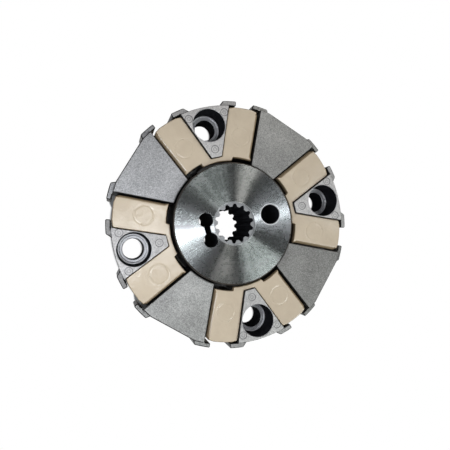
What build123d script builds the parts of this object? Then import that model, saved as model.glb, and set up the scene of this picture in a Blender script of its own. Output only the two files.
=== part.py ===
from build123d import *
from math import acos, asin, atan2, cos, degrees, hypot, pi, radians, sin, tan
import os

# A splined hub carries four radial inserts; four axial inserts bolt to a flywheel.
# A moulded elastic star sits between the two sets and passes the torque on.
# All sizes are in millimetres. The origin is the centre of the hub's rear face, +Z to the front.

# Driving dimensions: the ring of inserts
insert_pairs = 4
bolt_circle_radius = 82.5
flange_face = 10.0

# Driving dimensions: hub
hub_radius = 50.0
hub_length = 53.0
hub_chamfer = 1.0
bore_recess_step = 1.0
bore_recess_depth = 0.8
puller_hole_radius = 8.0
puller_hole_wall = 7.5
puller_hole_depth = 28.0
drill_point_angle = 118.0

# Driving dimensions: 12/24 pitch internal spline, 30 degree pressure angle
spline_spaces = 14
spline_module = 25.4 / 12
spline_pressure_angle = 30.0
spline_dedendum = 1.383
spline_addendum = 1.017
spline_turn = -3.1

# Driving dimensions: clamp slot in the hub and the screw that closes it
clamp_hole_radius = 5.9
clamp_hole_offset = 0.3
clamp_hole_spacing = 16.6
clamp_slot_width = 4.7
clamp_tongue_wall = 4.25
clamp_screw_radius = 6.0
clamp_screw_inset = 1.5
clamp_socket_flats = 6.0
clamp_socket_depth = 6.0
clamp_point_radius = 3.5
clamp_point_land = 1.0
screw_end_chamfer = 1.0
hole_mouth_chamfer = 0.6

# Driving dimensions: axial inserts
axial_thickness = 40.0
axial_tip_round = 1.2
axial_rim_wall = 1.85
axial_flank_wall = 0.92
axial_ear_thickness = 4.05
axial_ear_start = 7.6
axial_ear_full = 9.6
axial_ear_end = 16.0
axial_ear_inset = 1.7
cast_edge_round = 0.6
counterbore_radius = 13.35
counterbore_depth = 18.0
counterbore_draft = 1.9
counterbore_lip = 0.4
ejector_mark_radius = 3.0
ejector_mark_depth = 0.25
ejector_tip_inset = 6.7
ejector_rim_inset = 7.2
ejector_flank_inset = 3.56

# Driving dimensions: steel sleeves pressed into the inserts
axial_sleeve_wall = 2.15
axial_bolt_hole_radius = 8.6
radial_sleeve_wall = 1.75
sleeve_mouth_chamfer = 0.5

# Driving dimensions: radial inserts
radial_front_inset = 2.0
radial_foot_half_width = 11.3
radial_flank_angle = 20.5
radial_foot_chamfer = 1.6
radial_rim_step = 1.6
radial_flat_cut = 2.0
radial_ear_thickness = 3.7
radial_ear_full = 12.6
radial_ear_end = 20.0
radial_ear_inset = 4.0
radial_grip = 22.0

# Driving dimensions: radial screws
radial_screw_radius = 7.0
radial_screw_length = 40.0
radial_head_radius = 10.5
radial_head_height = 14.0
radial_head_chamfer = 1.0
radial_socket_flats = 12.0
radial_socket_depth = 7.0
screw_tip_room = 1.0

# Driving dimensions: elastic element
element_front_inset = 2.0
element_rear_inset = 0.5
web_thickness = 3.8
block_cut_back = 3.0
web_half_angle = 13.3
web_step_angle = 14.5
rear_band_thickness = 3.5
rear_band_width = 10.0
block_axial_corner = 1.5
block_radial_corner = 3.5
block_edge_round = 1.0
moulding_ring_radius = 8.15
moulding_ring_width = 1.0
moulding_ring_depth = 0.15
moulding_ring_distance = 72.7
moulding_ring_turn = 19.5

# Named clearances
hub_to_web = 2.0
ear_over_block = 0.2
element_to_radial_insert = 0.3
screw_in_hole = 0.5
head_in_counterbore = 1.5
thread_play = 0.05

# Worked out from the driving dimensions
half_pitch_angle = 180 / (2 * insert_pairs)
radial_turn = 360 / (2 * insert_pairs)
axial_rim_radius = bolt_circle_radius + counterbore_radius + axial_rim_wall
block_half_width = bolt_circle_radius * sin(radians(half_pitch_angle)) - counterbore_radius - axial_flank_wall
block_outer_radius = axial_rim_radius - ear_over_block
web_inner_radius = hub_radius + hub_to_web
block_inner_radius = web_inner_radius + block_cut_back
axial_tip = web_inner_radius + web_thickness
rear_band_outer_radius = web_inner_radius + rear_band_width
axial_front = flange_face + axial_thickness
radial_front = axial_front - radial_front_inset
element_front = axial_front - element_front_inset
element_rear = flange_face + element_rear_inset
rear_band_front = element_rear + rear_band_thickness
radial_rear = rear_band_front + element_to_radial_insert
radial_mid = (radial_front + radial_rear) / 2
counterbore_floor = axial_front - counterbore_depth
axial_sleeve_radius = axial_bolt_hole_radius + axial_sleeve_wall
radial_hole_radius = radial_screw_radius + screw_in_hole
radial_sleeve_radius = radial_hole_radius + radial_sleeve_wall
radial_counterbore_radius = radial_head_radius + head_in_counterbore
radial_rim_radius = axial_rim_radius + radial_rim_step
radial_outer_flat = radial_rim_radius - radial_flat_cut
radial_seat = hub_radius + radial_grip
radial_screw_tip = radial_seat - radial_screw_length
spline_pitch_radius = spline_module * spline_spaces / 2
spline_major_radius = spline_pitch_radius + spline_dedendum
spline_minor_radius = spline_pitch_radius - spline_addendum
bore_recess_radius = spline_major_radius + bore_recess_step
puller_hole_centre = spline_major_radius + puller_hole_wall + puller_hole_radius
clamp_slot_centre = spline_major_radius + clamp_tongue_wall + clamp_slot_width / 2
clamp_hole_centre = clamp_slot_centre - clamp_hole_offset
clamp_slot_outer = clamp_slot_centre + clamp_slot_width / 2
clamp_slot_inner = clamp_slot_centre - clamp_slot_width / 2


def polar(radius, angle):
    """Point at a radius and an angle in degrees from the local X axis."""
    return (radius * cos(radians(angle)), radius * sin(radians(angle)))


def place(angle):
    """Plane on the hub's rear face whose X axis points out at the given angle."""
    return Plane(origin=(0, 0, 0), x_dir=(*polar(1, angle), 0), z_dir=(0, 0, 1))


def radial_plane(angle, distance, height):
    """Plane square to a radius, at a distance from the axis, facing outwards."""
    x, y = polar(distance, angle)
    return Plane(origin=(x, y, height), x_dir=(*polar(1, angle + 90), 0), z_dir=(*polar(1, angle), 0))


def axial_flank(radius):
    """Angle at which an axial insert's flank meets a radius."""
    return half_pitch_angle - degrees(asin(block_half_width / radius))


def axial_half_width(distance):
    """Half width of an axial insert at a distance along its own centre line."""
    turn = radians(half_pitch_angle)
    return (distance * sin(turn) - block_half_width) / cos(turn)


def flank_meets(radius, spare):
    """Angle, from a radial insert's centre line, of its flank plus a spare gap at a radius."""
    slope = radians(radial_flank_angle)
    offset = radial_foot_half_width * cos(slope) - hub_radius * sin(slope) + spare
    return radial_flank_angle + degrees(asin(offset / radius))


def ear_outline(rim, thickness, start, full, end, side):
    """Closed line of one hooked ear, which stands on the rim and reaches past the flank."""
    sink = 2.0
    root = rim - sink
    under = (start + full) / 2 + 1.0
    top = rim + thickness
    foot = polar(root, side * start)
    toe = polar(rim, side * start)
    shoulder = polar(top, side * full)
    tip_top = polar(top, side * end)
    tip_low = polar(rim, side * end)
    inner = polar(rim, side * under)
    buried = polar(root, side * under)
    Polyline(foot, toe, shoulder)
    ThreePointArc(shoulder, polar(top, side * (full + end) / 2), tip_top)
    Line(tip_top, tip_low)
    ThreePointArc(tip_low, polar(rim, side * (end + under) / 2), inner)
    Polyline(inner, buried, foot)


def add_ears(angle, rim, thickness, start, full, end, bottom, top):
    """Adds both hooked ears of an insert between two heights."""
    for side in (-1, 1):
        with BuildSketch(place(angle).offset(bottom)) as ear:
            with BuildLine():
                ear_outline(rim, thickness, start, full, end, side)
            make_face()
            tips = vertices().filter_by(lambda v: abs(abs(degrees(atan2(v.Y, v.X))) - end) < 1e-3)
            fillet(tips, thickness / 4)
        extrude(ear.sketch, amount=top - bottom)


def involute(angle):
    """Involute function of an angle in radians."""
    return tan(angle) - angle


def space_half_angle(radius):
    """Half the angle, in degrees, that one spline space takes at a radius."""
    pressure = radians(spline_pressure_angle)
    local = acos(spline_pitch_radius * cos(pressure) / radius)
    return degrees(pi / (2 * spline_spaces) + involute(pressure) - involute(local))


def write(piece, name):
    """Labels a finished piece and writes it to its own file."""
    piece.part.label = name
    export_step(piece.part, f"parts/{name}.step")


def axis_distance(edge):
    """Distance of an edge's centre from the coupling's axis."""
    return hypot(edge.center().X, edge.center().Y)


def circle_edges(edges, radius):
    """Circular edges of one radius."""
    return edges.filter_by(GeomType.CIRCLE).filter_by(lambda edge: abs(edge.radius - radius) < 1e-4)


def make_spline_space():
    """One tooth space of the internal spline, with involute flanks, pointing along X."""
    overlap = 1.0
    tooth_height = spline_dedendum + spline_addendum
    radii = [spline_minor_radius + tooth_height * share for share in (0, 1 / 3, 2 / 3, 1)]
    left = [polar(radius, space_half_angle(radius)) for radius in radii]
    right = [polar(radius, -space_half_angle(radius)) for radius in radii]
    mouth = space_half_angle(spline_minor_radius)
    inner = spline_minor_radius - overlap
    with BuildSketch() as space:
        with BuildLine():
            Spline(*left)
            ThreePointArc(left[-1], (spline_major_radius, 0), right[-1])
            Spline(*reversed(right))
            Polyline(right[0], polar(inner, -mouth), polar(inner, mouth), left[0])
        make_face()
    return space


def make_hub():
    """Steel hub: splined bore, clamp slot, puller hole and the tapped holes round its rim."""
    space = make_spline_space()
    with BuildPart() as hub:
        with BuildSketch():
            Circle(hub_radius)
        extrude(amount=hub_length)
        chamfer(circle_edges(hub.edges(), hub_radius), hub_chamfer)

        with BuildSketch():
            Circle(spline_minor_radius)
            with PolarLocations(0, spline_spaces, start_angle=spline_turn):
                add(space.sketch)
        extrude(amount=hub_length, mode=Mode.SUBTRACT)
        for height in (0, hub_length - bore_recess_depth):
            with BuildSketch(Plane.XY.offset(height)):
                Circle(bore_recess_radius)
            extrude(amount=bore_recess_depth, mode=Mode.SUBTRACT)

        with BuildSketch():
            with Locations((-clamp_hole_centre, 0)):
                with GridLocations(0, clamp_hole_spacing, 1, 2):
                    Circle(clamp_hole_radius)
            with Locations((-clamp_slot_centre, 0)):
                Rectangle(clamp_slot_width, clamp_hole_spacing)
        extrude(amount=hub_length, mode=Mode.SUBTRACT)

        tip = puller_hole_radius / tan(radians(drill_point_angle / 2))
        floor = hub_length - puller_hole_depth
        side = puller_hole_centre + puller_hole_radius
        with BuildSketch(Plane.XZ):
            with BuildLine():
                Polyline((puller_hole_centre, hub_length), (side, hub_length), (side, floor),
                         (puller_hole_centre, floor - tip), close=True)
            make_face()
        revolve(axis=Axis((puller_hole_centre, 0, 0), (0, 0, 1)), mode=Mode.SUBTRACT)
        chamfer(circle_edges(hub.faces().sort_by(Axis.Z)[-1].edges(), puller_hole_radius), hole_mouth_chamfer)

        with BuildSketch(radial_plane(180, hub_radius, hub_length / 2)):
            Circle(clamp_screw_radius + thread_play)
        extrude(amount=-(hub_radius - clamp_slot_centre), mode=Mode.SUBTRACT)

        for index in range(insert_pairs):
            angle = radial_turn + index * 2 * radial_turn
            with BuildSketch(radial_plane(angle, hub_radius, radial_mid)):
                Circle(radial_screw_radius + thread_play)
            extrude(amount=-(hub_radius - radial_screw_tip + screw_tip_room), mode=Mode.SUBTRACT)
    return hub


def make_clamp_screw():
    """Set screw whose plain point crosses the clamp slot and bears on the tongue beside the spline."""
    outer_end = hub_radius - clamp_screw_inset
    with BuildPart() as screw:
        with BuildSketch(radial_plane(180, outer_end, hub_length / 2)):
            Circle(clamp_screw_radius)
        extrude(amount=-(outer_end - clamp_slot_outer - clamp_point_land))
        chamfer(circle_edges(screw.edges(), clamp_screw_radius), screw_end_chamfer)
        with BuildSketch(radial_plane(180, clamp_slot_outer + clamp_point_land, hub_length / 2)):
            Circle(clamp_point_radius)
        extrude(amount=-(clamp_slot_outer + clamp_point_land - clamp_slot_inner))
        with BuildSketch(radial_plane(180, outer_end, hub_length / 2)):
            RegularPolygon(clamp_socket_flats / 2, 6, major_radius=False)
        extrude(amount=-clamp_socket_depth, mode=Mode.SUBTRACT)
    return screw


def make_axial_insert(angle):
    """Cast insert that bolts to the flywheel: a wedge with two hooked ears and a counterbore."""
    flank = axial_flank(axial_rim_radius)
    tip_half = axial_half_width(axial_tip)
    tip_round = min(axial_tip_round, 0.9 * tip_half)
    edge_round = min(cast_edge_round, 0.9 * tip_round)
    mark_distance = axial_rim_radius - ejector_rim_inset
    mark_side = axial_half_width(mark_distance) - ejector_flank_inset
    with BuildPart() as insert:
        with BuildSketch(place(angle).offset(flange_face)):
            with BuildLine():
                right = polar(axial_rim_radius, -flank)
                left = polar(axial_rim_radius, flank)
                Polyline(right, (axial_tip, -tip_half), (axial_tip, tip_half), left)
                ThreePointArc(left, (axial_rim_radius, 0), right)
            make_face()
            fillet(vertices().sort_by(SortBy.DISTANCE)[:2], tip_round)
        extrude(amount=axial_thickness)
        for face in (insert.faces().sort_by(Axis.Z)[-1], insert.faces().sort_by(Axis.Z)[0]):
            fillet(face.outer_wire().edges(), edge_round)
        add_ears(angle, axial_rim_radius, axial_ear_thickness, axial_ear_start, axial_ear_full, axial_ear_end,
                 flange_face + axial_ear_inset, axial_front - axial_ear_inset)

        with BuildSketch(place(angle).offset(axial_front)):
            with Locations((bolt_circle_radius, 0)):
                Circle(counterbore_radius)
        extrude(amount=-counterbore_depth, taper=counterbore_draft, mode=Mode.SUBTRACT)
        with BuildSketch(place(angle).offset(counterbore_floor)):
            with Locations((bolt_circle_radius, 0)):
                Circle(axial_sleeve_radius)
        extrude(amount=flange_face - counterbore_floor, mode=Mode.SUBTRACT)
        chamfer(circle_edges(insert.edges(), counterbore_radius), counterbore_lip)

        marks = ((axial_tip + ejector_tip_inset, 0), (mark_distance, mark_side), (mark_distance, -mark_side))
        with BuildSketch(place(angle).offset(axial_front)):
            with Locations(*marks):
                Circle(ejector_mark_radius)
        extrude(amount=-ejector_mark_depth, mode=Mode.SUBTRACT)
    return insert


def make_axial_sleeve(angle):
    """Steel sleeve pressed into an axial insert, from the counterbore's floor to the flange face."""
    with BuildPart() as sleeve:
        with BuildSketch(place(angle).offset(flange_face)):
            with Locations((bolt_circle_radius, 0)):
                Circle(axial_sleeve_radius)
                Circle(axial_bolt_hole_radius, mode=Mode.SUBTRACT)
        extrude(amount=counterbore_floor - flange_face)
        chamfer(circle_edges(sleeve.edges(), axial_bolt_hole_radius), sleeve_mouth_chamfer)
    return sleeve


def make_radial_insert(angle):
    """Cast insert that screws to the hub: a wedge with a curved foot and two hooked ears."""
    foot = flank_meets(hub_radius, 0)
    corner = flank_meets(radial_rim_radius, 0)
    flat_end = degrees(acos(radial_outer_flat / radial_rim_radius))
    arc_middle = (flat_end + corner) / 2
    with BuildPart() as insert:
        with BuildSketch(place(angle).offset(radial_rear)):
            with BuildLine():
                for side in (-1, 1):
                    Line(polar(hub_radius, side * foot), polar(radial_rim_radius, side * corner))
                    ThreePointArc(polar(radial_rim_radius, side * corner),
                                  polar(radial_rim_radius, side * arc_middle),
                                  polar(radial_rim_radius, side * flat_end))
                ThreePointArc(polar(hub_radius, -foot), (hub_radius, 0), polar(hub_radius, foot))
                Line(polar(radial_rim_radius, -flat_end), polar(radial_rim_radius, flat_end))
            make_face()
        extrude(amount=radial_front - radial_rear)
        for face in (insert.faces().sort_by(Axis.Z)[-1], insert.faces().sort_by(Axis.Z)[0]):
            foot_edges = circle_edges(face.edges(), hub_radius)
            chamfer(foot_edges, radial_foot_chamfer)
        add_ears(angle, radial_rim_radius, radial_ear_thickness, flat_end, radial_ear_full, radial_ear_end,
                 radial_rear + radial_ear_inset, radial_front - radial_ear_inset)

        with BuildSketch(radial_plane(angle, radial_outer_flat, radial_mid)):
            Circle(radial_counterbore_radius)
        extrude(amount=radial_seat - radial_outer_flat, mode=Mode.SUBTRACT)
        with BuildSketch(radial_plane(angle, radial_seat, radial_mid)):
            Circle(radial_sleeve_radius)
        extrude(amount=hub_radius / 2 - radial_seat, mode=Mode.SUBTRACT)
    return insert


def make_radial_sleeve(angle):
    """Steel sleeve pressed into a radial insert, from the screw's seat to the hub's rim."""
    with BuildPart() as sleeve:
        with BuildSketch(radial_plane(angle, radial_seat, radial_mid)):
            Circle(radial_sleeve_radius)
            Circle(radial_hole_radius, mode=Mode.SUBTRACT)
        extrude(amount=hub_radius / 2 - radial_seat)
        Cylinder(hub_radius, hub_length, align=(Align.CENTER, Align.CENTER, Align.MIN), mode=Mode.SUBTRACT)
    return sleeve


def make_radial_screw(angle):
    """Socket head screw that holds a radial insert to the hub."""
    with BuildPart() as screw:
        with BuildSketch(radial_plane(angle, radial_seat, radial_mid)):
            Circle(radial_head_radius)
        extrude(amount=radial_head_height)
        head_rim = circle_edges(screw.edges(), radial_head_radius).sort_by(axis_distance)[-1]
        chamfer(head_rim, radial_head_chamfer)
        with BuildSketch(radial_plane(angle, radial_seat, radial_mid)):
            Circle(radial_screw_radius)
        extrude(amount=-radial_screw_length)
        with BuildSketch(radial_plane(angle, radial_seat + radial_head_height, radial_mid)):
            RegularPolygon(radial_socket_flats / 2, 6, major_radius=False)
        extrude(amount=-radial_socket_depth, mode=Mode.SUBTRACT)
        chamfer(circle_edges(screw.edges(), radial_screw_radius).sort_by(axis_distance)[0], screw_end_chamfer)
    return screw


def pad_outline():
    """Closed line of one V of the element: a web under an axial insert and a block on each flank."""
    web_arc = polar(web_inner_radius, 0)
    outer_radial = radial_turn - flank_meets(block_outer_radius, element_to_radial_insert)
    inner_radial = radial_turn - flank_meets(block_inner_radius, element_to_radial_insert)
    outer_axial = axial_flank(block_outer_radius)
    pocket = (axial_tip, axial_half_width(axial_tip))
    ThreePointArc(polar(web_inner_radius, -web_half_angle), web_arc, polar(web_inner_radius, web_half_angle))
    for side in (-1, 1):
        step = polar(block_inner_radius, side * web_step_angle)
        inner = polar(block_inner_radius, side * inner_radial)
        outer = polar(block_outer_radius, side * outer_radial)
        Line(polar(web_inner_radius, side * web_half_angle), step)
        ThreePointArc(step, polar(block_inner_radius, side * (web_step_angle + inner_radial) / 2), inner)
        Line(inner, outer)
        ThreePointArc(outer, polar(block_outer_radius, side * (outer_radial + outer_axial) / 2),
                      polar(block_outer_radius, side * outer_axial))
        Line(polar(block_outer_radius, side * outer_axial), (pocket[0], side * pocket[1]))
    Line(pocket, (pocket[0], -pocket[1]))


def make_pad():
    """One V of the element round the axial insert on the X axis, with a shallow ring in each block."""
    outer_radial = radial_turn - flank_meets(block_outer_radius, element_to_radial_insert)
    outer_axial = axial_flank(block_outer_radius)
    with BuildPart() as pad:
        with BuildSketch(Plane.XY.offset(element_rear)):
            with BuildLine():
                pad_outline()
            make_face()
            for turn, corner in ((outer_axial, block_axial_corner), (outer_radial, block_radial_corner)):
                ends = vertices().filter_by(lambda v: abs(hypot(v.X, v.Y) - block_outer_radius) < 1e-3)
                fillet(ends.filter_by(lambda v: abs(abs(degrees(atan2(v.Y, v.X))) - turn) < 1e-3), corner)
        extrude(amount=element_front - element_rear)
        front = pad.faces().sort_by(Axis.Z)[-1]
        fillet(front.outer_wire().edges(), block_edge_round)
        with BuildSketch(Plane.XY.offset(element_front)):
            with Locations(*(polar(moulding_ring_distance, side * moulding_ring_turn) for side in (-1, 1))):
                Circle(moulding_ring_radius)
                Circle(moulding_ring_radius - moulding_ring_width, mode=Mode.SUBTRACT)
        extrude(amount=-moulding_ring_depth, mode=Mode.SUBTRACT)
    return pad


def make_elastic_element():
    """Moulded star: four V pads round the axial inserts, joined by a band behind the radial feet."""
    pad = make_pad()
    half = radial_turn - web_step_angle
    with BuildPart() as band:
        with BuildSketch(Plane.XY.offset(element_rear)):
            with BuildLine():
                for radius in (web_inner_radius, rear_band_outer_radius):
                    ThreePointArc(polar(radius, -half), (radius, 0), polar(radius, half))
                for side in (-1, 1):
                    Line(polar(web_inner_radius, side * half), polar(rear_band_outer_radius, side * half))
            make_face()
        extrude(amount=rear_band_thickness)
    with BuildPart() as element:
        with PolarLocations(0, insert_pairs):
            add(pad.part)
        with PolarLocations(0, insert_pairs, start_angle=radial_turn):
            add(band.part)
    return element


os.makedirs("parts", exist_ok=True)
write(make_hub(), "hub")
write(make_clamp_screw(), "clamp_screw")
write(make_elastic_element(), "elastic_element")
for number in range(insert_pairs):
    axial_angle = number * 2 * radial_turn
    radial_angle = axial_angle + radial_turn
    write(make_axial_insert(axial_angle), f"axial_insert_{number + 1}")
    write(make_axial_sleeve(axial_angle), f"axial_sleeve_{number + 1}")
    write(make_radial_insert(radial_angle), f"radial_insert_{number + 1}")
    write(make_radial_sleeve(radial_angle), f"radial_sleeve_{number + 1}")
    write(make_radial_screw(radial_angle), f"radial_screw_{number + 1}")
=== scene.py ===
"""Looks of a flexible shaft coupling, built round its packed construction.

A splined steel hub, cast inserts, steel sleeves and socket screws are dressed from their solids.
The elastic star between them is modelled here as eight half pads.
Lengths are written in millimetres and turned into metres by MM. Angles are in degrees.
"""

import logging
import math
from dataclasses import dataclass, field, fields, replace
from enum import Enum

import bmesh
import bpy
import numpy as np
from mathutils import Matrix, Vector


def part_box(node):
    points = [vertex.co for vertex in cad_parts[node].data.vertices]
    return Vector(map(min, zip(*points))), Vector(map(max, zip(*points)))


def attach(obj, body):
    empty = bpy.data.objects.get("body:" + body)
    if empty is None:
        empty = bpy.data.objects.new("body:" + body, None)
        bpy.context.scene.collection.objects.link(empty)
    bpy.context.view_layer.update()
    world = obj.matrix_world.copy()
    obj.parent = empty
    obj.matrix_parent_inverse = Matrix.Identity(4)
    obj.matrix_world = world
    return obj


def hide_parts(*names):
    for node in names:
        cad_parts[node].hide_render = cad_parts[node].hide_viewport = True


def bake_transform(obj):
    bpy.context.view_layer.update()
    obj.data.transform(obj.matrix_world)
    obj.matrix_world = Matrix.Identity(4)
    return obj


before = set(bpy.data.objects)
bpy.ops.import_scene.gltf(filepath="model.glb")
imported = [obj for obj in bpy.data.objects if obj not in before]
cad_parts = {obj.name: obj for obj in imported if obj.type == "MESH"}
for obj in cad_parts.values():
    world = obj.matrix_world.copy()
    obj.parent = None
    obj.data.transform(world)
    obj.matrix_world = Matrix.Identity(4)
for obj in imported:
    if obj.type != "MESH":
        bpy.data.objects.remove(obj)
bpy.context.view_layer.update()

MM = 0.001
LEVEL = 0.9  # height of a unit normal past which its face counts as level
WHITE = (1.0, 1.0, 1.0, 1.0)
log = logging.getLogger("coupling")

Colour = tuple[float, float, float]


class Body(Enum):
    """The two rigid sides of the coupling, by their names in the frame."""

    HUB = "hub_side"
    FLYWHEEL = "flywheel_side"


def srgb(red: int, green: int, blue: int) -> Colour:
    """Linear colour of a colour written as it looks on screen.

    Args:
        red: red from 0 to 255.
        green: green from 0 to 255.
        blue: blue from 0 to 255.

    Returns:
        The three linear values.
    """
    def linear(value: int) -> float:
        """Linear share of one value."""
        share = value / 255
        return share / 12.92 if share <= 0.04045 else ((share + 0.055) / 1.055) ** 2.4

    return linear(red), linear(green), linear(blue)


def polar(radius: float | np.ndarray, angle: float | np.ndarray) -> np.ndarray:
    """Points x = radius cos(angle), y = radius sin(angle).

    Args:
        radius: distance from the shaft axis.
        angle: angle from the X axis.

    Returns:
        An array whose last axis holds x and y.
    """
    turn = np.radians(angle)
    return np.stack([radius * np.cos(turn), radius * np.sin(turn)], axis=-1)


def closer_at_ends(count: int) -> np.ndarray:
    """Rising shares from 0 to 1 that crowd at both ends: t - 0.92 sin(2 pi t) / (2 pi)."""
    t = np.linspace(0.0, 1.0, count)
    return t - 0.92 * np.sin(2 * np.pi * t) / (2 * np.pi)


def grid_faces(rows: int, columns: int, wrap: bool = False) -> np.ndarray:
    """Quads between neighbouring rows and columns of vertices that are numbered row by row.

    Args:
        rows: number of rows of vertices.
        columns: number of vertices in a row.
        wrap: whether the last column joins the first.

    Returns:
        An array of four vertex numbers for each quad.
    """
    row = np.arange(rows - 1)[:, None]
    column = np.arange(columns if wrap else columns - 1)[None, :]
    after = (column + 1) % columns
    low, high = row * columns, (row + 1) * columns
    return np.stack([low + column, low + after, high + after, high + column], axis=-1).reshape(-1, 4)


class Surface:
    """Grids of points gathered into one mesh, with doubles merged and normals made to point outwards."""

    merge_distance: float = 0.0006
    crease: float = 38.0

    def __init__(self) -> None:
        """Starts with no points."""
        self.points: list[np.ndarray] = []
        self.faces: list[np.ndarray] = []
        self.count = 0

    def add(self, grid: np.ndarray, wrap: bool = False) -> None:
        """Adds a grid of points.

        Args:
            grid: array of rows, columns and x, y, z in millimetres.
            wrap: whether the last column joins the first.
        """
        rows, columns = grid.shape[:2]
        self.faces.append(grid_faces(rows, columns, wrap) + self.count)
        self.points.append(grid.reshape(-1, 3))
        self.count += rows * columns

    def build(self, name: str, turn: float, mirrored: bool) -> bpy.types.Object:
        """Makes the object, at the origin.

        Args:
            name: name of the piece.
            turn: angle by which the points turn about the shaft axis.
            mirrored: whether the points are mirrored in the XZ plane before they turn.

        Returns:
            The linked object.
        """
        points = np.concatenate(self.points) * MM
        points[:, 1] *= -1 if mirrored else 1
        c, s = math.cos(math.radians(turn)), math.sin(math.radians(turn))
        points = points @ np.array([[c, s, 0.0], [-s, c, 0.0], [0.0, 0.0, 1.0]])
        mesh = bpy.data.meshes.new(name)
        mesh.from_pydata(points.tolist(), [], np.concatenate(self.faces).tolist())
        tidy_mesh(mesh, self.merge_distance * MM, self.crease)
        return linked(name, mesh)


def linked(name: str, data: bpy.types.ID) -> bpy.types.Object:
    """Makes an object and links it to the scene.

    Args:
        name: name of the object.
        data: its mesh, lamp or camera.

    Returns:
        The object.
    """
    thing = bpy.data.objects.new(name, data)
    bpy.context.scene.collection.objects.link(thing)
    return thing


def tidy_mesh(mesh: bpy.types.Mesh, merge: float, crease: float, flat: float = 0.0) -> None:
    """Merges doubles, joins faces that lie in one plane, turns faces outwards and smooths soft edges.

    Args:
        mesh: the mesh to tidy.
        merge: distance under which two vertices become one.
        crease: angle past which an edge stays sharp.
        flat: angle under which neighbouring faces count as one plane, or 0 to keep them all.
    """
    work = bmesh.new()
    work.from_mesh(mesh)
    bmesh.ops.remove_doubles(work, verts=work.verts, dist=merge)
    bmesh.ops.dissolve_degenerate(work, edges=work.edges, dist=merge / 4)
    if flat > 0:
        bmesh.ops.dissolve_limit(work, angle_limit=math.radians(flat), verts=work.verts, edges=work.edges)
    bmesh.ops.recalc_face_normals(work, faces=work.faces)
    work.to_mesh(mesh)
    work.free()
    mesh.shade_smooth()
    mesh.set_sharp_from_angle(angle=math.radians(crease))
    mesh.update()


def mark_rounded_edges(mesh: bpy.types.Mesh, crease: float, tall: float) -> None:
    """Gives a bevel weight to outside edges whose steep faces are tall, not to shallow marks and lips.

    Args:
        mesh: the mesh, already merged.
        crease: angle past which an edge counts.
        tall: least height of the steep faces beside the edge, in millimetres.
    """
    work = bmesh.new()
    work.from_mesh(mesh)
    weight = work.edges.layers.float.new("bevel_weight_edge")
    work.faces.ensure_lookup_table()
    heights = [[corner.co.z for corner in face.verts] for face in work.faces]
    chosen = [max(height) - min(height) > tall * MM or abs(face.normal.z) > LEVEL
              for height, face in zip(heights, work.faces)]
    for edge in work.edges:
        sides = edge.link_faces
        if len(sides) == 2 and edge.is_convex and edge.calc_face_angle(0.0) > math.radians(crease):
            edge[weight] = float(all(chosen[face.index] for face in sides))
    work.to_mesh(mesh)
    work.free()


def rides(piece: bpy.types.Object, body: Body, material: bpy.types.Material) -> None:
    """Gives a rigid piece its body and material.

    Args:
        piece: the piece.
        body: the body that it moves with.
        material: its main material.
    """
    piece.data.materials.clear()
    piece.data.materials.append(material)
    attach(piece, body.value)


class Value:
    """A socket of a node tree. Its arithmetic places Math nodes."""

    def __init__(self, net: "Network", socket: bpy.types.NodeSocket) -> None:
        """Takes a socket and the network that it belongs to."""
        self.net, self.socket = net, socket

    def __add__(self, other: "Value | float") -> "Value":
        """This plus another."""
        return self.net.math("ADD", self, other)

    def __sub__(self, other: "Value | float") -> "Value":
        """This less another."""
        return self.net.math("SUBTRACT", self, other)

    def __rsub__(self, other: float) -> "Value":
        """A number less this."""
        return self.net.math("SUBTRACT", other, self)

    def __mul__(self, other: "Value | float") -> "Value":
        """This times another."""
        return self.net.math("MULTIPLY", self, other)

    def __truediv__(self, other: "Value | float") -> "Value":
        """This as a share of another."""
        return self.net.math("DIVIDE", self, other)

    def __abs__(self) -> "Value":
        """Its size."""
        return self.net.math("ABSOLUTE", self)


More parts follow.
